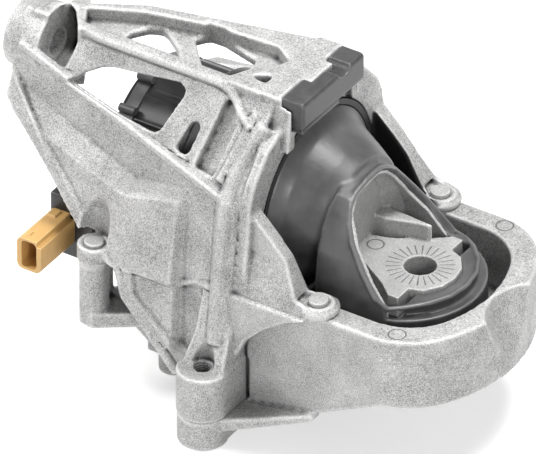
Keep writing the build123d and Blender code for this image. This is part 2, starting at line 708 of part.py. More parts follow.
track_plate_x = front_plate_back_x - fit_gap
track_plate_back_x = track_plate_x - track_plate_t
membrane_pocket_x = track_plate_x - membrane_t - 2 * soft_gap
track_outer = track_mean_r + track_half_width
track_inner = track_mean_r - track_half_width
stopper = block(
    (track_plate_back_x - 1, track_plate_x + 2), (-4, 4), (axis_z + track_inner - 2, axis_z + track_outer + 2)
)
with BuildPart() as track_plate:
    add(disc(track_plate_back_x, track_plate_x, plate_r))
    add(disc(membrane_pocket_x, track_plate_x + 1, membrane_r + soft_gap), mode=Mode.SUBTRACT)
    track = disc(track_plate_x - track_depth, track_plate_x + 1, track_outer, track_inner)
    add(track - stopper, mode=Mode.SUBTRACT)
    with BuildSketch(Plane.YZ.offset(track_plate_back_x - 1)):
        with Locations((0, axis_z)):
            with PolarLocations(grid_hole_ring_r, grid_hole_count):
                Circle(grid_hole_r)
            with PolarLocations(track_mean_r, 1, start_angle=50):
                Circle(track_half_width - 1)
    extrude(amount=track_plate_t + 2, mode=Mode.SUBTRACT)
track_plate.part.label = "track_plate"
export_step(track_plate.part, "parts/track_plate.step")

with BuildPart() as membrane:
    add(disc(membrane_pocket_x + soft_gap, track_plate_x - soft_gap, membrane_r))
membrane.part.label = "membrane"
export_step(membrane.part, "parts/membrane.step")

bead_x = track_plate_back_x - soft_gap
bead_r = plate_r - 0.4
diaphragm_outline = [
    (bead_x, bead_r), (bead_x - bead_t, bead_r), (bead_x - bead_t, plate_r - 4.3),
    (bead_x - 10, plate_r - 9.4), (bead_x - 15, 28), (bead_x - 16.5, 14), (bead_x - 16.5, 0),
    (bead_x - 14.7, 0), (bead_x - 14.7, 14), (bead_x - 13.4, 27), (bead_x - 8.8, plate_r - 10.9),
    (bead_x - 1.5, plate_r - 6.4), (bead_x, plate_r - 6.4),
]
with BuildPart() as diaphragm:
    add(turned(diaphragm_outline))
diaphragm.part.label = "diaphragm"
export_step(diaphragm.part, "parts/diaphragm.step")

bowl_x = bead_x - bead_t - soft_gap
bowl_back_x = can_floor_x + fit_gap
nose_r = can_hole_r - soft_gap
bowl_outline = [
    (bowl_x, plate_r), (bowl_back_x, plate_r), (bowl_back_x, nose_r), (can_back_x, nose_r),
    (can_back_x, air_hole_r), (bowl_back_x + 1.5, air_hole_r), (bowl_back_x + 1.5, 24),
    (bowl_x - 11, plate_r - 7.9), (bowl_x, plate_r - 3.9),
]
with BuildPart() as air_bowl:
    add(turned(bowl_outline))
air_bowl.part.label = "air_bowl"
export_step(air_bowl.part, "parts/air_bowl.step")

# Moulded cap with the solenoid inside.
cap_front_x = can_back_x - fit_gap
flux_front_x = cap_front_x - 0.4
flux_back_x = flux_front_x - flux_plate_t
cap_seat_x = flux_back_x - fit_gap
cap_floor_x = cap_back_x + cap_floor_t
groove_x = cap_front_x - seal_t
cap_outline = [
    (cap_back_x, 0), (cap_back_x, cap_r - 1.5), (cap_back_x + 1.5, cap_r), (cap_flange_x, cap_r),
    (cap_flange_x, cap_flange_r), (cap_front_x, cap_flange_r), (cap_front_x, seal_outer_r),
    (groove_x, seal_outer_r), (groove_x, seal_inner_r), (cap_front_x, seal_inner_r),
    (cap_front_x, flux_plate_r + 0.1), (cap_seat_x, flux_plate_r + 0.1),
    (cap_seat_x, cap_r - cap_wall), (cap_floor_x, cap_r - cap_wall), (cap_floor_x, 0),
]
with BuildPart() as solenoid_cap:
    add(turned(cap_outline))
    with BuildSketch(Plane.YZ.offset(clamp_ring_x[1] + 1)):
        with Locations((0, axis_z)):
            with PolarLocations(cap_r, 16):
                Rectangle(2.2, 1.8)
    extrude(amount=cap_flange_x - clamp_ring_x[1] - 1)
    add(block((arm_x[0], cap_back_x + 1), arm_y, arm_z))
    add(block((arm_x[0], arm_x[1] + 1), plate_y, (arm_z[0] - 6, arm_z[1] - 7)))
    sx, sz = shroud_centre
    for side in (1, -1):
        pin_x = (sx - pin_t / 2 - fit_gap, sx + pin_t / 2 + fit_gap)
        middle = sz + side * pin_pitch / 2
        pin_z = (middle - pin_width / 2 - fit_gap, middle + pin_width / 2 + fit_gap)
        add(block(pin_x, (plate_y[0] - 1, plate_y[0] + 5 + fit_gap), pin_z), mode=Mode.SUBTRACT)
solenoid_cap.part.label = "solenoid_cap"
export_step(solenoid_cap.part, "parts/solenoid_cap.step")

with BuildPart() as cap_seal:
    add(disc(groove_x + fit_gap, cap_front_x - fit_gap, seal_outer_r - 0.1, seal_inner_r + 0.1))
cap_seal.part.label = "cap_seal"
export_step(cap_seal.part, "parts/cap_seal.step")

with BuildPart() as clamp_ring:
    add(disc(*clamp_ring_x, cap_r + fit_gap + clamp_ring_wall, cap_r + fit_gap))
    for angle in (107, 131):
        place = Pos(clamp_ring_x[0] + 3.5, 0, axis_z) * Rot(angle - 90, 0, 0) * Pos(0, 0, cap_r + 2.8)
        add(place * Rot(0, 90, 0) * Cylinder(clamp_hook_r, clamp_hook_length, mode=Mode.PRIVATE))
clamp_ring.part.label = "clamp_ring"
export_step(clamp_ring.part, "parts/clamp_ring.step")

sleeve_r = plunger_r + fit_gap + sleeve_wall
with BuildPart() as flux_plate:
    add(disc(flux_back_x, flux_front_x, flux_plate_r, plunger_r + fit_gap))
flux_plate.part.label = "flux_plate"
export_step(flux_plate.part, "parts/flux_plate.step")

yoke_back_x = cap_floor_x + fit_gap
yoke_floor_x = yoke_back_x + yoke_wall
with BuildPart() as yoke:
    add(disc(yoke_back_x, cap_seat_x, yoke_r, yoke_r - yoke_wall))
    add(disc(yoke_back_x, yoke_floor_x, yoke_r, 5 + fit_gap))
yoke.part.label = "yoke"
export_step(yoke.part, "parts/yoke.step")

with BuildPart() as guide_sleeve:
    add(disc(yoke_floor_x + fit_gap, flux_back_x - fit_gap, sleeve_r, plunger_r + fit_gap))
guide_sleeve.part.label = "guide_sleeve"
export_step(guide_sleeve.part, "parts/guide_sleeve.step")

bobbin_ends = (yoke_floor_x + fit_gap, flux_back_x - 2 * fit_gap)
bobbin_r = sleeve_r + fit_gap + bobbin_wall
coil_ends = (bobbin_ends[0] + bobbin_wall + fit_gap, bobbin_ends[1] - bobbin_wall - fit_gap)
with BuildPart() as coil_bobbin:
    add(disc(*bobbin_ends, bobbin_r, sleeve_r + fit_gap))
    add(disc(bobbin_ends[0], bobbin_ends[0] + bobbin_wall, coil_r + 1, sleeve_r + fit_gap))
    add(disc(bobbin_ends[1] - bobbin_wall, bobbin_ends[1], coil_r + 1, sleeve_r + fit_gap))
coil_bobbin.part.label = "coil_bobbin"
export_step(coil_bobbin.part, "parts/coil_bobbin.step")

with BuildPart() as coil:
    add(disc(*coil_ends, coil_r, bobbin_r + fit_gap))
coil.part.label = "coil"
export_step(coil.part, "parts/coil.step")

plunger_front_x = can_back_x - fit_gap
plunger_back_x = plunger_front_x - plunger_length
pole_front_x = plunger_back_x - plunger_travel - 0.2
with BuildPart() as plunger:
    add(disc(plunger_back_x, plunger_front_x, plunger_r))
    add(disc(plunger_back_x - 1, plunger_back_x + spring_bore_depth, spring_bore_r), mode=Mode.SUBTRACT)
plunger.part.label = "plunger"
export_step(plunger.part, "parts/plunger.step")

with BuildPart() as pole_core:
    add(disc(yoke_floor_x + fit_gap, pole_front_x, plunger_r))
    add(disc(yoke_back_x, yoke_floor_x + 1, 5))
    add(disc(pole_front_x - spring_bore_depth, pole_front_x + 1, spring_bore_r), mode=Mode.SUBTRACT)
pole_core.part.label = "pole_core"
export_step(pole_core.part, "parts/pole_core.step")

spring_from = pole_front_x - spring_bore_depth + spring_wire_r + fit_gap
spring_to = plunger_back_x + spring_bore_depth - spring_wire_r - fit_gap
with BuildPart() as return_spring:
    with BuildLine() as spring_line:
        Helix(
            pitch=(spring_to - spring_from) / spring_turns, height=spring_to - spring_from, radius=3.2,
            center=(spring_from, 0, axis_z), direction=(1, 0, 0),
        )
    with BuildSketch(Plane(origin=spring_line.line @ 0, z_dir=spring_line.line % 0)):
        Circle(spring_wire_r)
    sweep()
return_spring.part.label = "return_spring"
export_step(return_spring.part, "parts/return_spring.step")

# Connector: a moulded shroud round two flat pins.
sx, sz = shroud_centre
half_w = shroud_width / 2
half_h = shroud_height / 2
shroud_plane = Plane(origin=(sx, plate_y[0] - fit_gap, sz), x_dir=(1, 0, 0), z_dir=(0, -1, 0))
with BuildPart() as connector_shroud:
    with BuildSketch(shroud_plane) as shroud_outer:
        RectangleRounded(shroud_width, shroud_height, 3.5)
        with Locations((half_w, half_h)):
            Rectangle(5, 6, mode=Mode.SUBTRACT)
    extrude(amount=shroud_length)
    with BuildSketch(shroud_plane.offset(3)):
        RectangleRounded(shroud_width - 5.5, shroud_height - 2 * shroud_wall, 2.2)
    extrude(amount=shroud_length, mode=Mode.SUBTRACT)
    with BuildSketch(shroud_plane.offset(2)):
        with Locations((-2, half_h)):
            Rectangle(5, 2.2)
    extrude(amount=6)
    with BuildSketch(shroud_plane.offset(shroud_length - 7)):
        with Locations((-3, half_h)):
            Rectangle(3, 1.6)
    extrude(amount=4)
    for side in (1, -1):
        pin_x = (sx - pin_t / 2 - fit_gap, sx + pin_t / 2 + fit_gap)
        middle = sz + side * pin_pitch / 2
        pin_z = (middle - pin_width / 2 - fit_gap, middle + pin_width / 2 + fit_gap)
        add(block(pin_x, (plate_y[0] - 10, plate_y[0] + 1), pin_z), mode=Mode.SUBTRACT)
connector_shroud.part.label = "connector_shroud"
export_step(connector_shroud.part, "parts/connector_shroud.step")

with BuildPart() as terminal_pins:
    for side in (1, -1):
        middle = sz + side * pin_pitch / 2
        pin_z = (middle - pin_width / 2, middle + pin_width / 2)
        add(block((sx - pin_t / 2, sx + pin_t / 2), (plate_y[0] + 5 - pin_length - 5, plate_y[0] + 5), pin_z))
terminal_pins.part.label = "terminal_pins"
export_step(terminal_pins.part, "parts/terminal_pins.step")

# Stop buffer: a rubber sleeve, open at the back, clipped round the casting's tongue.
buffer_back_x = buffer_front_x - buffer_depth
buffer_low_z = top_z - buffer_height
buffer_half = beam_half_width - soft_gap
buffer_x = (buffer_back_x + soft_gap, buffer_front_x)
with BuildPart() as stop_buffer:
    add(block(buffer_x, (-buffer_half, buffer_half), (buffer_low_z + 2.5, top_z)))
    fillet(stop_buffer.edges().filter_by(Axis.Y).group_by(Axis.X)[-1], 2.2)
    fillet(stop_buffer.edges().filter_by(Axis.Z).group_by(Axis.X)[-1], 1.5)
    lip_x = (buffer_front_x - 8, buffer_front_x - 1)
    add(block(lip_x, (-buffer_half + 1, 6), (buffer_low_z, buffer_low_z + 3)))
    slot = [
        (buffer_back_x - 1, tongue_low_z - soft_gap), (tongue_front_x + soft_gap, tongue_low_z - soft_gap),
        (tongue_front_x + soft_gap, tongue_high_z + soft_gap), (buffer_back_x - 1, tongue_high_z + soft_gap),
    ]
    add(xz_prism(slot, -tongue_half_width - soft_gap, tongue_half_width + soft_gap), mode=Mode.SUBTRACT)
    tab_room = block((buffer_back_x - 1, tab_front_x + soft_gap), tab_room_y, (tongue_high_z - 1, top_z + 1))
    add(tab_room, mode=Mode.SUBTRACT)
    with BuildSketch(Plane.YZ.offset(buffer_back_x - 1)):
        with Locations((buffer_dip_y, top_z + buffer_dip_rise)):
            Circle(buffer_dip_r)
    extrude(amount=buffer_depth + 2, mode=Mode.SUBTRACT)
stop_buffer.part.label = "stop_buffer"
export_step(stop_buffer.part, "parts/stop_buffer.step")
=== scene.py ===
import bpy
import math
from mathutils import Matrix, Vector


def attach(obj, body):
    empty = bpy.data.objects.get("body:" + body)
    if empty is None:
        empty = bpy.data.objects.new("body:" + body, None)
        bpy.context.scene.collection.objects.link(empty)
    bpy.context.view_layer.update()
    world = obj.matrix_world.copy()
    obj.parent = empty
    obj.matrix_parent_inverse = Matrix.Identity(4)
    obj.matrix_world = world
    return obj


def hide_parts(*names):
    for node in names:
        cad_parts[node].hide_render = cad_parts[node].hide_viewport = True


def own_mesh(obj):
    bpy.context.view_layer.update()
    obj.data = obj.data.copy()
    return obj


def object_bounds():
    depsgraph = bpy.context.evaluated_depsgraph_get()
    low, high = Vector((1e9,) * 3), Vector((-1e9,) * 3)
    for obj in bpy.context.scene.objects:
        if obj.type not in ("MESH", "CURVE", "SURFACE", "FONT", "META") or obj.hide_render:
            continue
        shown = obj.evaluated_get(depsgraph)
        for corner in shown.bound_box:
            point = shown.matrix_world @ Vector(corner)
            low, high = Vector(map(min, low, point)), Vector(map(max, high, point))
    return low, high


# Engine mount: cast brackets round a rubber spring, with a stop buffer, a bolting tongue and a connector.
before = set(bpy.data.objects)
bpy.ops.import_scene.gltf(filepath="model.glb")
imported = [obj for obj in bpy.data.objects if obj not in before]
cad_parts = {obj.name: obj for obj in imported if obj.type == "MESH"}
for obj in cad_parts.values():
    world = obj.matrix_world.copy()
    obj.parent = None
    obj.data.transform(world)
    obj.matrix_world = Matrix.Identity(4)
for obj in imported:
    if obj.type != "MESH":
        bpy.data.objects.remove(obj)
cad_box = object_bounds()
scene = bpy.context.scene
MM = 0.001

# The photograph's view: its width in pixels, the camera's sensor in millimetres, its direction and distance,
# the size of a pixel at the object and the point in the middle of the view.
IMAGE_WIDTH = 536
SENSOR_WIDTH = 36.0
VIEW_AZIMUTH = math.radians(33.0)
VIEW_ELEVATION = math.radians(35.0)
VIEW_DISTANCE = 8.0
PIXEL_AT_OBJECT = 0.5 * MM
VIEW_TARGET = Vector((-90.2, 0.0, -11.2)) * MM

# Mesh work: points nearer than this are one point, and how strongly a round of smoothing pulls.
MERGE_DISTANCE = 0.00001
SMOOTHING = 0.5


def activate(piece):
    """Selects one object alone and makes it the active one."""
    bpy.ops.object.select_all(action="DESELECT")
    piece.select_set(True)
    bpy.context.view_layer.objects.active = piece


def apply_modifier(piece, kind, **settings):
    """Adds a modifier with its settings and applies it."""
    activate(piece)
    modifier = piece.modifiers.new(kind.lower(), kind)
    for name, value in settings.items():
        setattr(modifier, name, value)
    bpy.ops.object.modifier_apply(modifier=modifier.name)


def settle(piece, node, material):
    """Gives a piece on the fixed body its material, and lets it stand for a node."""
    piece.data.materials.clear()
    piece.data.materials.append(material)
    for polygon in piece.data.polygons:
        polygon.material_index = 0
    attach(piece, "root")
    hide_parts(node)


def tube(points, radius):
    """Round bead along points in millimetres, as a closed mesh."""
    curve = bpy.data.curves.new("tube", "CURVE")
    curve.dimensions = "3D"
    curve.bevel_depth = radius * MM
    curve.bevel_resolution = 3
    curve.use_fill_caps = True
    line = curve.splines.new("POLY")
    line.points.add(len(points) - 1)
    for place, point in zip(line.points, points):
        place.co = (*(Vector(point) * MM), 1.0)
    piece = bpy.data.objects.new("tube", curve)
    scene.collection.objects.link(piece)
    activate(piece)
    bpy.ops.object.convert(target="MESH")
    return bpy.context.view_layer.objects.active


def merged_copy(node, name):
    """Copy of a solid as one joined-up mesh."""
    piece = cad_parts[node].copy()
    piece.data = piece.data.copy()
    for key in list(piece.keys()):
        del piece[key]
    piece.parent = None
    piece.name = name
    scene.collection.objects.link(piece)
    activate(piece)
    bpy.ops.object.mode_set(mode="EDIT")
    bpy.ops.mesh.select_all(action="SELECT")
    bpy.ops.mesh.remove_doubles(threshold=MERGE_DISTANCE)
    bpy.ops.mesh.normals_make_consistent(inside=False)
    bpy.ops.object.mode_set(mode="OBJECT")
    return piece


def moulded_copy(node, name, voxel, rounds, beads=(), most=None):
    """Copy of a solid with beads melted on and its edges rounded as cast or moulded ones are."""
    piece = merged_copy(node, name)
    activate(piece)
    for bead in beads:
        bead.select_set(True)
    if beads:
        bpy.ops.object.join()
    apply_modifier(piece, "REMESH", mode="VOXEL", voxel_size=voxel, adaptivity=0.0)
    apply_modifier(piece, "SMOOTH", factor=SMOOTHING, iterations=rounds)
    triangles = 2 * len(piece.data.polygons)
    if most and triangles > most:
        apply_modifier(piece, "DECIMATE", ratio=most / triangles)
    activate(piece)
    bpy.ops.object.shade_smooth()
    return piece


# Shader node groups. A casting's tone is the sum of three noises by these shares, each stretched from its
# own range. A surface counts as an edge or a corner where Blender's pointiness, which is 0.5 on a flat face,
# passes these values, and as facing up from the first to the second value of its normal's height.
SPECKLE_SHARE, MEDIUM_SHARE, CLOUD_SHARE = 0.62, 0.16, 0.22
SPECKLE_RANGE, MEDIUM_RANGE, CLOUD_RANGE = (0.36, 0.64), (0.34, 0.66), (0.32, 0.68)
MEDIUM_SCALE = 420.0
EDGE_START, CORNER_START = 0.51, 0.49
UP_RANGE = (0.9, 0.97)


def new_group(name, inputs, outputs):
    """Empty node group with float inputs (name, default) and outputs (name, socket type)."""
    group = bpy.data.node_groups.new(name, "ShaderNodeTree")
    for label, default in inputs:
        socket = group.interface.new_socket(label, in_out="INPUT", socket_type="NodeSocketFloat")
        socket.default_value = default
    for label, kind in outputs:
        group.interface.new_socket(label, in_out="OUTPUT", socket_type=kind)
    start = group.nodes.new("NodeGroupInput")
    end = group.nodes.new("NodeGroupOutput")
    return group, start, end


def math_node(tree, operation, a, b=0.5, clamp=False):
    """Math node fed by sockets or numbers."""
    node = tree.nodes.new("ShaderNodeMath")
    node.operation = operation
    node.use_clamp = clamp
    for index, value in enumerate((a, b)):
        if isinstance(value, (int, float)):
            node.inputs[index].default_value = value
        else:
            tree.links.new(value, node.inputs[index])
    return node.outputs[0]


def noise(tree, vector, scale, detail=2.0, roughness=0.5):
    """Noise value on a vector."""
    node = tree.nodes.new("ShaderNodeTexNoise")
    node.inputs["Detail"].default_value = detail
    node.inputs["Roughness"].default_value = roughness
    tree.links.new(vector, node.inputs["Vector"])
    if isinstance(scale, (int, float)):
        node.inputs["Scale"].default_value = scale
    else:
        tree.links.new(scale, node.inputs["Scale"])
    return node.outputs["Fac"]


def remap(tree, value, low, high, to_low=0.0, to_high=1.0):
    """Linear change of range, clamped."""
    node = tree.nodes.new("ShaderNodeMapRange")
    tree.links.new(value, node.inputs["Value"])
    for label, number in (("From Min", low), ("From Max", high), ("To Min", to_low), ("To Max", to_high)):
        node.inputs[label].default_value = number
    return node.outputs["Result"]


def make_cast_grain():
    """Mottle of a casting skin: fine speckle over slow clouds, from 0 to 1, and its relief."""
    group, start, end = new_group(
        "cast_grain", [("Speckle", 1500.0), ("Cloud", 55.0)],
        [("Tone", "NodeSocketFloat"), ("Relief", "NodeSocketFloat")],
    )
    place = group.nodes.new("ShaderNodeTexCoord").outputs["Object"]
    speckle = noise(group, place, start.outputs["Speckle"], 3.0, 0.65)
    medium = noise(group, place, MEDIUM_SCALE, 3.0, 0.6)
    cloud = noise(group, place, start.outputs["Cloud"], 2.0)
    fine = remap(group, speckle, *SPECKLE_RANGE)
    middle = remap(group, medium, *MEDIUM_RANGE)
    slow = remap(group, cloud, *CLOUD_RANGE)
    mixed = math_node(
        group, "ADD", math_node(group, "MULTIPLY", fine, SPECKLE_SHARE),
        math_node(group, "MULTIPLY", middle, MEDIUM_SHARE),
    )
    tone = math_node(group, "ADD", mixed, math_node(group, "MULTIPLY", slow, CLOUD_SHARE), clamp=True)
    group.links.new(tone, end.inputs["Tone"])
    group.links.new(mixed, end.inputs["Relief"])
    return group


def make_edge_light():
    """Masks from 0 to 1 of outer edges, which get a painted highlight, and of inner corners, which get
    painted shade.
    """
    group, start, end = new_group(
        "edge_light", [("Width", 0.06), ("Corner Width", 0.06)],
        [("Edge", "NodeSocketFloat"), ("Corner", "NodeSocketFloat")],
    )
    sharp = group.nodes.new("ShaderNodeNewGeometry").outputs["Pointiness"]
    above = math_node(group, "SUBTRACT", sharp, EDGE_START)
    below = math_node(group, "SUBTRACT", CORNER_START, sharp)
    edge_highlight = math_node(group, "DIVIDE", above, start.outputs["Width"], clamp=True)
    corner = math_node(group, "DIVIDE", below, start.outputs["Corner Width"], clamp=True)
    group.links.new(edge_highlight, end.inputs["Edge"])
    group.links.new(corner, end.inputs["Corner"])
    return group


def make_polar():
    """Radius and turn (0 to 1) about an upright axis, and how far a face looks up."""
    group, start, end = new_group(
        "polar_place", [("X", 0.0), ("Y", 0.0)],
        [("Radius", "NodeSocketFloat"), ("Turn", "NodeSocketFloat"), ("Up", "NodeSocketFloat")],
    )
    place = group.nodes.new("ShaderNodeTexCoord").outputs["Object"]
    parts = group.nodes.new("ShaderNodeSeparateXYZ")
    group.links.new(place, parts.inputs[0])
    across = math_node(group, "SUBTRACT", parts.outputs["X"], start.outputs["X"])
    along = math_node(group, "SUBTRACT", parts.outputs["Y"], start.outputs["Y"])
    squares = math_node(
        group, "ADD", math_node(group, "MULTIPLY", across, across), math_node(group, "MULTIPLY", along, along)
    )
    group.links.new(math_node(group, "SQRT", squares), end.inputs["Radius"])
    angle = math_node(group, "ARCTAN2", along, across)
    turn = math_node(group, "ADD", math_node(group, "DIVIDE", angle, 2 * math.pi), 0.5)
    group.links.new(turn, end.inputs["Turn"])
    normal = group.nodes.new("ShaderNodeTexCoord").outputs["Normal"]
    faces = group.nodes.new("ShaderNodeSeparateXYZ")
    group.links.new(normal, faces.inputs[0])
    group.links.new(remap(group, faces.outputs["Z"], *UP_RANGE), end.inputs["Up"])
    return group


CAST_GRAIN = make_cast_grain()
EDGE_LIGHT = make_edge_light()
POLAR = make_polar()


def new_material(name):
    """Material with its tree and its Principled shader."""
    material = bpy.data.materials.new(name)
    material.use_nodes = True
    tree = material.node_tree
    shader = next(n for n in tree.nodes if n.type == "BSDF_PRINCIPLED")
    return material, tree, shader


def use_group(tree, group, **values):
    """Node group placed in a tree with its own values."""
    node = tree.nodes.new("ShaderNodeGroup")
    node.node_tree = group
    for label, value in values.items():
        node.inputs[label].default_value = value
    return node


def blend_colours(tree, mask, first, second):
    """Mix of two colours, each a socket or an RGB triple, by a mask."""
    node = tree.nodes.new("ShaderNodeMix")
    node.data_type = "RGBA"
    tree.links.new(mask, node.inputs["Factor"])
    for socket, value in ((node.inputs["A"], first), (node.inputs["B"], second)):
        if isinstance(value, tuple):
            socket.default_value = (*value, 1.0)
        else:
            tree.links.new(value, socket)
    return node.outputs["Result"]


def add_bump(tree, shader, height, strength, distance):
    """Bump from a height into the shader's normal."""
    node = tree.nodes.new("ShaderNodeBump")
    node.inputs["Strength"].default_value = strength
    node.inputs["Distance"].default_value = distance
    tree.links.new(height, node.inputs["Height"])
    tree.links.new(node.outputs["Normal"], shader.inputs["Normal"])


def band(tree, value, centre, half_width, soft):
    """Mask that is 1 where a value lies within half_width of a centre."""
    away = math_node(tree, "ABSOLUTE", math_node(tree, "SUBTRACT", value, centre))
    return remap(tree, away, half_width + soft, half_width)


# Marks on the metal, in millimetres, but a spoke's width is a share of the turn from one spoke to the next
# and a thread's lines are a range of its sine wave.
RING_HALF_WIDTH, RING_SOFT = 0.25, 0.3
SPOKE_HALF_WIDTH, SPOKE_SOFT, SPOKE_END_SOFT = 0.06, 0.06, 0.8
THREAD_REACH, THREAD_START, THREAD_LINES = 1.0, 0.5, (-0.2, 0.4)


def ring_mask(tree, x, y, radius):
    """Thin ring left by an ejector pin on an upward face."""
    polar = use_group(tree, POLAR, X=x * MM, Y=y * MM)
    ring = band(tree, polar.outputs["Radius"], radius * MM, RING_HALF_WIDTH * MM, RING_SOFT * MM)
    return math_node(tree, "MULTIPLY", ring, polar.outputs["Up"])


def spoke_mask(tree, x, y, middle_radius, half_length, count):
    """Radial witness marks of a toothed washer on an upward face."""
    polar = use_group(tree, POLAR, X=x * MM, Y=y * MM)
    phase = math_node(tree, "FRACT", math_node(tree, "MULTIPLY", polar.outputs["Turn"], float(count)))
    spokes = band(tree, phase, 0.5, SPOKE_HALF_WIDTH, SPOKE_SOFT)
    reach = band(tree, polar.outputs["Radius"], middle_radius * MM, half_length * MM, SPOKE_END_SOFT * MM)
    return math_node(tree, "MULTIPLY", math_node(tree, "MULTIPLY", spokes, reach), polar.outputs["Up"])


def thread_mask(tree, x, y, radius, top, pitch):
    """Turns of a screw thread inside an upright hole."""
    polar = use_group(tree, POLAR, X=x * MM, Y=y * MM)
    inside = remap(tree, polar.outputs["Radius"], (radius + THREAD_REACH) * MM, radius * MM)
    place = tree.nodes.new("ShaderNodeTexCoord").outputs["Object"]
    parts = tree.nodes.new("ShaderNodeSeparateXYZ")
    tree.links.new(place, parts.inputs[0])
    below = remap(tree, parts.outputs["Z"], (top + THREAD_START) * MM, top * MM)
    wave = math_node(tree, "MULTIPLY", parts.outputs["Z"], 2 * math.pi / (pitch * MM))
    lines = remap(tree, math_node(tree, "SINE", wave), *THREAD_LINES)
    return math_node(tree, "MULTIPLY", math_node(tree, "MULTIPLY", inside, below), lines)


# Shade inside the casting: how softly it ends in metres, and from where to where a face turns inwards, as the
# share of its normal that points away from the axis.
SHADE_SOFT = 0.002
INWARD_RANGE = (-0.25, -0.6)


def make_shade():
    """Faces that look inwards at the cartridge's axis within a radius, where hardly any light reaches."""
    group, start, end = new_group(
        "inner_shade", [("Axis Z", 0.019), ("Reach", 0.06), ("From X", -0.084), ("To X", -0.02)],
        [("Shade", "NodeSocketFloat")],
    )
    coordinates = group.nodes.new("ShaderNodeTexCoord")
    place = group.nodes.new("ShaderNodeSeparateXYZ")
    group.links.new(coordinates.outputs["Object"], place.inputs[0])
    normal = group.nodes.new("ShaderNodeSeparateXYZ")
    group.links.new(coordinates.outputs["Normal"], normal.inputs[0])
    up = math_node(group, "SUBTRACT", place.outputs["Z"], start.outputs["Axis Z"])
    across = place.outputs["Y"]
    radius = math_node(group, "SQRT", math_node(
        group, "ADD", math_node(group, "MULTIPLY", up, up), math_node(group, "MULTIPLY", across, across)
    ))
    outward = math_node(
        group, "ADD", math_node(group, "MULTIPLY", normal.outputs["Y"], across),
        math_node(group, "MULTIPLY", normal.outputs["Z"], up),
    )
    inward = remap(group, math_node(group, "DIVIDE", outward, radius), *INWARD_RANGE)
    beyond = math_node(group, "SUBTRACT", radius, start.outputs["Reach"])
    near = remap(group, beyond, SHADE_SOFT, -SHADE_SOFT)
    after = math_node(group, "SUBTRACT", place.outputs["X"], start.outputs["From X"])
    before = math_node(group, "SUBTRACT", start.outputs["To X"], place.outputs["X"])
    span = math_node(
        group, "MULTIPLY", remap(group, after, -SHADE_SOFT, SHADE_SOFT),
        remap(group, before, -SHADE_SOFT, 2 * SHADE_SOFT),
    )
    shade = math_node(group, "MULTIPLY", math_node(group, "MULTIPLY", inward, near), span)
    group.links.new(shade, end.inputs["Shade"])
    return group


INNER_SHADE = make_shade()
SHADE_COLOUR = (0.012, 0.012, 0.012)

# Roughness of a casting's lightest and darkest specks, how dark its marks are, and its relief in metres. A
# plain surface has its noise's range, how far its roughness goes down and up, and how fine its relief is.
CAST_SMOOTH, CAST_ROUGH = 0.36, 0.55
MARK_DEPTH = 0.7
CAST_BUMP, CAST_RELIEF = 0.55, 0.0004
PLAIN_RANGE = (0.3, 0.7)
PLAIN_SMOOTHER, PLAIN_ROUGHER = 0.05, 0.06
PLAIN_RELIEF, PLAIN_RELIEF_SCALE = 0.0002, 6
# Width of the painted highlight on a plain surface's edges.
PLAIN_HIGHLIGHT_WIDTH = 0.08


def cast_material(name, dark, light, edge_highlight_colour, crease_shade_and_mark_colour, metallic, edge_highlight_width, crease_shade_width=0.06,
                  marks=(), shaded=False):
    """Cast metal: mottled skin, painted highlights on edges, painted shade in corners, marks given as mask
    functions.
    """
    material, tree, shader = new_material(name)
    grain = use_group(tree, CAST_GRAIN)
    edges = use_group(tree, EDGE_LIGHT, **{"Width": edge_highlight_width, "Corner Width": crease_shade_width})
    skin = blend_colours(tree, grain.outputs["Tone"], dark, light)
    # Painted shade in inner corners and creases, in the colour that also darkens the marks.
    skin = blend_colours(tree, edges.outputs["Corner"], skin, crease_shade_and_mark_colour)
    # Painted highlight along outer edges.
    skin = blend_colours(tree, edges.outputs["Edge"], skin, edge_highlight_colour)
    relief = grain.outputs["Relief"]
    for make_mask, values in marks:
        mask = make_mask(tree, *values)
        skin = blend_colours(tree, math_node(tree, "MULTIPLY", mask, MARK_DEPTH), skin, crease_shade_and_mark_colour)
        relief = math_node(tree, "SUBTRACT", relief, mask)
    if shaded:
        skin = blend_colours(tree, use_group(tree, INNER_SHADE).outputs["Shade"], skin, SHADE_COLOUR)
    tree.links.new(skin, shader.inputs["Base Color"])
    shader.inputs["Metallic"].default_value = metallic
    rough = remap(tree, grain.outputs["Tone"], 0.0, 1.0, CAST_ROUGH, CAST_SMOOTH)
    tree.links.new(rough, shader.inputs["Roughness"])
    add_bump(tree, shader, relief, CAST_BUMP, CAST_RELIEF)
    return material


def plain_material(name, colour, rough, metallic=0.0, spread=0.12, scale=220.0, bump=0.1, edge_highlight=None):
    """Moulded or turned surface: slight tone changes, a fine relief and an optional painted highlight on its
    edges.
    """
    material, tree, shader = new_material(name)
    place = tree.nodes.new("ShaderNodeTexCoord").outputs["Object"]
    tone = noise(tree, place, scale, 3.0)
    low = tuple(c * (1 - spread) for c in colour)
    high = tuple(min(1.0, c * (1 + spread)) for c in colour)
    skin = blend_colours(tree, remap(tree, tone, *PLAIN_RANGE), low, high)
    # Optional painted highlight along the edges.
    if edge_highlight:
        edges = use_group(tree, EDGE_LIGHT, Width=PLAIN_HIGHLIGHT_WIDTH)
        skin = blend_colours(tree, edges.outputs["Edge"], skin, edge_highlight)
    tree.links.new(skin, shader.inputs["Base Color"])
    shader.inputs["Metallic"].default_value = metallic
    roughness = remap(tree, tone, *PLAIN_RANGE, rough - PLAIN_SMOOTHER, rough + PLAIN_ROUGHER)
    tree.links.new(roughness, shader.inputs["Roughness"])
    add_bump(tree, shader, noise(tree, place, scale * PLAIN_RELIEF_SCALE, 2.0), bump, PLAIN_RELIEF)
    return material
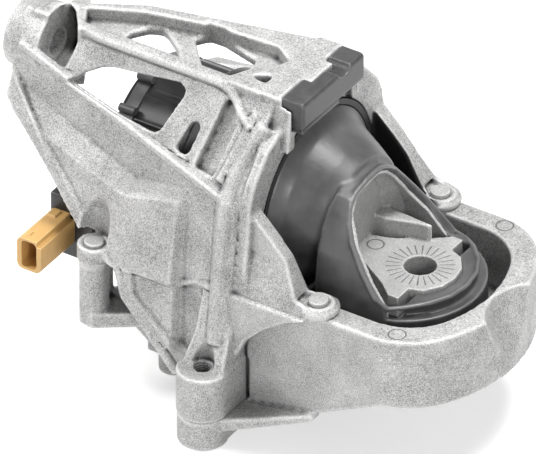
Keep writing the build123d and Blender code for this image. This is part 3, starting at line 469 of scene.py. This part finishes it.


# Colours: darkest and lightest grain, the painted edge highlight, and the painted crease shade that also
# darkens the marks.
CAST = cast_material(
    "cast_aluminium", (0.12, 0.12, 0.118), (0.67, 0.67, 0.665), (0.95, 0.95, 0.945), (0.03, 0.03, 0.03), 0.4,
    edge_highlight_width=0.1, crease_shade_width=0.035, shaded=True,
    marks=[
        (ring_mask, (20.1, -52.6, 4.4)), (ring_mask, (14.6, 55.6, 4.4)),
        (thread_mask, (-77, -80, 5.0, -44.5, 1.5)), (thread_mask, (-77, 80, 5.0, -44.5, 1.5)),
    ],
)
# The core's colours, in the same order: grain, painted edge highlight, painted crease shade and mark colour.
CORE_METAL = cast_material(
    "core_aluminium", (0.27, 0.27, 0.268), (0.62, 0.62, 0.615), (0.85, 0.85, 0.84), (0.03, 0.03, 0.03), 0.3,
    edge_highlight_width=0.1,
    marks=[(ring_mask, (-28.5, 3.3, 4.2)), (spoke_mask, (0, 0, 13.5, 3.5, 26))],
)
# The edge colours given to the rubbers and the tan plastic are painted highlights.
SPRING_RUBBER = plain_material(
    "spring_rubber", (0.08, 0.08, 0.08), 0.36, spread=0.35, scale=60.0, bump=0.3, edge_highlight=(0.24, 0.24, 0.24),
)
BUFFER_RUBBER = plain_material(
    "buffer_rubber", (0.04, 0.04, 0.041), 0.34, spread=0.3, bump=0.45, edge_highlight=(0.26, 0.26, 0.26),
)
BLACK_PLASTIC = plain_material("black_plastic", (0.022, 0.022, 0.022), 0.38)
BAND_GREY = plain_material("band_grey", (0.1, 0.1, 0.1), 0.4)
TAN_PLASTIC = plain_material("tan_plastic", (0.62, 0.37, 0.13), 0.34, spread=0.06, edge_highlight=(0.85, 0.62, 0.32))
# Very dark steel, used for the outer ring and the can.
DARK_STEEL = plain_material("dark_steel", (0.02, 0.02, 0.02), 0.55)
STEEL = plain_material("plain_steel", (0.5, 0.5, 0.5), 0.35, metallic=0.9)
BRASS = plain_material("sleeve_brass", (0.6, 0.45, 0.2), 0.35, metallic=0.9)
COPPER = plain_material("copper_winding", (0.55, 0.25, 0.12), 0.4, metallic=0.8)
PLATE = plain_material("plate_aluminium", (0.6, 0.6, 0.6), 0.4, metallic=0.7)
SEAL_RUBBER = plain_material("seal_rubber", (0.04, 0.04, 0.04), 0.5)

# Bead round the hood's mouth and on round the tongue, in millimetres.
HOOD_BEAD = [
    (-0.6, -40.6, 3.2), (-9.5, -39.5, 16.5), (-17.2, -36.0, 27.5), (-21.8, -31.5, 34.5), (-25.3, -25.5, 39.8),
    (-27.2, -17.0, 43.8), (-27.2, -8.0, 45.6), (-27.3, 0.0, 46.0), (-27.4, 6.0, 45.2), (-27.4, 12.0, 42.2),
    (-27.3, 18.5, 37.2), (-25.5, 25.0, 28.8), (-22.5, 30.2, 20.8), (-18.0, 34.2, 13.0), (-11.5, 36.8, 4.6),
    (-4.0, 38.4, -3.6),
]
TONGUE_BEAD = [
    (-4.0, 38.4, -3.6), (4.0, 36.0, -3.0), (12.0, 31.0, -2.4), (20.0, 22.5, -2.2), (25.5, 12.0, -2.2),
    (27.3, 0.0, -2.2), (25.5, -12.0, -2.2), (20.0, -22.5, -2.2), (12.0, -31.5, -2.4), (5.0, -37.5, -2.6),
    (-0.6, -40.6, 3.2),
]

# Cast ribs of the bracket, in millimetres: along the arm, down the front edge of the near side wall, down its
# rear edge below the ear, along its ledge, and down its rear edge above the ear. Most of these points were
# found by projecting points of the photograph onto the imported casting, and were then moved.
ARM_RIB = [
    (-180.0, -28.4, 90.6), (-170.6, -30.2, 90.6), (-150.1, -30.4, 90.4), (-122.7, -30.4, 90.6),
    (-98.2, -30.4, 90.4), (-92.7, -30.8, 88.8), (-88.2, -32.0, 85.0), (-83.0, -35.8, 81.0),
    (-75.0, -39.5, 77.0),
]
ARC_RIB = [
    (-69.2, -34.9, 78.4), (-71.7, -40.0, 71.5), (-73.8, -45.1, 64.6), (-75.2, -50.3, 57.4),
    (-75.6, -56.0, 50.2), (-75.0, -61.4, 44.6), (-74.6, -64.0, 34.0), (-74.8, -65.8, 22.3),
    (-74.9, -67.5, 9.9), (-74.7, -69.2, -1.9), (-74.5, -70.6, -14.4), (-74.4, -71.6, -23.6),
    (-73.8, -73.4, -32.3),
]
WALL_RIB = [
    (-136.5, -69.0, -6.0), (-133.0, -69.6, -14.0), (-129.8, -69.8, -27.0), (-119.6, -69.8, -38.0),
    (-108.6, -70.4, -50.0), (-98.0, -71.0, -61.0),
]
LEDGE_RIB = [
    (-131.5, -70.0, -9.6), (-117.2, -71.0, -8.8), (-104.5, -68.9, -10.6), (-99.3, -64.8, -10.8),
    (-92.2, -65.0, -6.2), (-86.3, -65.6, -5.8), (-78.1, -69.0, -4.0),
]
REAR_RIB = [
    (-216.5, -40.2, 62.6), (-209.4, -44.0, 54.2), (-201.1, -48.6, 46.6), (-192.8, -53.0, 39.6),
    (-185.7, -56.4, 30.9), (-178.0, -59.8, 21.8), (-171.6, -62.5, 15.2), (-165.5, -65.0, 9.4),
]
upper = moulded_copy(
    "upper_bracket", "upper_casting", 1.05 * MM, 3,
    beads=[
        tube(ARM_RIB, 2.2), tube(ARC_RIB, 4.4), tube(WALL_RIB, 2.8), tube(LEDGE_RIB, 1.5),
        tube(REAR_RIB, 1.3),
    ],
    most=190000,
)
settle(upper, "upper_bracket", CAST)
lower = moulded_copy("lower_bracket", "lower_casting", 1.15 * MM, 3, most=170000)
settle(lower, "lower_bracket", CAST)
rivets = moulded_copy("clinch_rivets", "rivet_heads", 0.45 * MM, 2)
settle(rivets, "clinch_rivets", CORE_METAL)
core = moulded_copy("core", "core_casting", 0.65 * MM, 3, most=120000)
settle(core, "core", CORE_METAL)
spring = moulded_copy(
    "rubber_spring", "spring_moulding", 0.9 * MM, 3, most=180000,
    beads=[tube(HOOD_BEAD, 1.5), tube(TONGUE_BEAD, 1.4)],
)
settle(spring, "rubber_spring", SPRING_RUBBER)
buffer = moulded_copy("stop_buffer", "stop_buffer_moulding", 0.45 * MM, 3)
settle(buffer, "stop_buffer", BUFFER_RUBBER)
shroud = moulded_copy("connector_shroud", "connector_moulding", 0.35 * MM, 2)
settle(shroud, "connector_shroud", TAN_PLASTIC)
cap = moulded_copy("solenoid_cap", "cap_moulding", 0.9 * MM, 2)
settle(cap, "solenoid_cap", BLACK_PLASTIC)

# The valve's spring, which shortens as the plunger moves away from its seat, gets a mesh of its own.
valve_spring = merged_copy("return_spring", "valve_spring")
settle(valve_spring, "return_spring", STEEL)
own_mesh(valve_spring)

# The other nodes keep their own meshes and get a better material.
NODE_MATERIALS = {
    "outer_ring": DARK_STEEL, "cartridge_can": DARK_STEEL, "nozzle_plate": PLATE,
    "track_plate": PLATE, "membrane": SEAL_RUBBER, "diaphragm": SEAL_RUBBER, "air_bowl": BLACK_PLASTIC,
    "cap_seal": SEAL_RUBBER, "clamp_ring": BAND_GREY, "flux_plate": STEEL, "yoke": STEEL,
    "guide_sleeve": BRASS, "coil_bobbin": BLACK_PLASTIC, "coil": COPPER, "plunger": STEEL,
    "pole_core": STEEL, "terminal_pins": STEEL,
}
for node, material in NODE_MATERIALS.items():
    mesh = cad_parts[node].data
    mesh.materials.clear()
    mesh.materials.append(material)


# Floor, light and camera.
WHITE = (1.0, 1.0, 1.0, 1.0)
FLOOR_TONE = (0.8, 0.8, 0.8, 1.0)
FLOOR_ROUGHNESS = 0.9
FLOOR_SIZE = 12.0
FLOOR_GLOW = 0.5
SKY_LIGHT = 0.2
LAMPS = [  # name, place and size in metres, power in watts
    ("key", (-1.1, -0.5, 1.0), 0.35, 15.0),
    ("top", (0.2, 0.3, 1.5), 0.6, 26.0),
    ("front", (1.0, -0.9, 0.6), 0.3, 5.0),
    ("fill", (-0.1, -1.5, 0.25), 0.5, 2.0),
]


def seen_rays(tree):
    """Mask of the rays that show a thing to the camera, straight or by way of metal or glass."""
    rays = tree.nodes.new("ShaderNodeLightPath").outputs
    mirrored = math_node(tree, "ADD", rays["Is Camera Ray"], rays["Is Glossy Ray"], clamp=True)
    return math_node(tree, "ADD", mirrored, rays["Is Transmission Ray"], clamp=True)


def make_stage():
    """Pale floor under the feet that shows white to the camera and keeps the shadow."""
    bpy.ops.object.select_all(action="DESELECT")
    bpy.ops.mesh.primitive_plane_add(size=FLOOR_SIZE, location=(0, 0, cad_box[0].z))
    floor = bpy.context.active_object
    floor.name = "floor"
    material, tree, shader = new_material("floor_paper")
    shader.inputs["Base Color"].default_value = FLOOR_TONE
    shader.inputs["Roughness"].default_value = FLOOR_ROUGHNESS
    shader.inputs["Emission Color"].default_value = WHITE
    glow = math_node(tree, "MULTIPLY", seen_rays(tree), FLOOR_GLOW)
    tree.links.new(glow, shader.inputs["Emission Strength"])
    floor.data.materials.append(material)


def make_world():
    """Even sky light, and plain white behind the object."""
    world = bpy.data.worlds.new("studio")
    scene.world = world
    world.use_nodes = True
    tree = world.node_tree
    output = next(n for n in tree.nodes if n.type == "OUTPUT_WORLD")
    light = next(n for n in tree.nodes if n.type == "BACKGROUND")
    light.inputs["Color"].default_value = WHITE
    light.inputs["Strength"].default_value = SKY_LIGHT
    white = tree.nodes.new("ShaderNodeBackground")
    white.inputs["Color"].default_value = WHITE
    white.inputs["Strength"].default_value = 1.0
    mix = tree.nodes.new("ShaderNodeMixShader")
    tree.links.new(seen_rays(tree), mix.inputs["Fac"])
    tree.links.new(light.outputs[0], mix.inputs[1])
    tree.links.new(white.outputs[0], mix.inputs[2])
    tree.links.new(mix.outputs[0], output.inputs["Surface"])


def add_lamp(name, place, size, power):
    """Soft square lamp that points at the object."""
    lamp = bpy.data.lights.new(name, "AREA")
    lamp.size = size
    lamp.energy = power
    piece = bpy.data.objects.new(name, lamp)
    piece.location = Vector(place)
    piece.rotation_euler = (VIEW_TARGET - Vector(place)).to_track_quat("-Z", "Y").to_euler()
    scene.collection.objects.link(piece)


make_stage()
make_world()
for lamp_name, lamp_place, lamp_size, lamp_power in LAMPS:
    add_lamp(lamp_name, lamp_place, lamp_size, lamp_power)

view_direction = Vector((
    -math.sin(VIEW_AZIMUTH) * math.cos(VIEW_ELEVATION),
    math.cos(VIEW_AZIMUTH) * math.cos(VIEW_ELEVATION),
    -math.sin(VIEW_ELEVATION),
))
camera_data = bpy.data.cameras.new("camera")
camera_data.sensor_width = SENSOR_WIDTH
camera_data.lens = VIEW_DISTANCE / PIXEL_AT_OBJECT * SENSOR_WIDTH / IMAGE_WIDTH
camera = bpy.data.objects.new("camera", camera_data)
camera.location = VIEW_TARGET - view_direction * VIEW_DISTANCE
camera.rotation_euler = view_direction.to_track_quat("-Z", "Y").to_euler()
scene.collection.objects.link(camera)
scene.camera = camera
scene.view_settings.view_transform = "Standard"

bpy.ops.object.select_all(action="DESELECT")
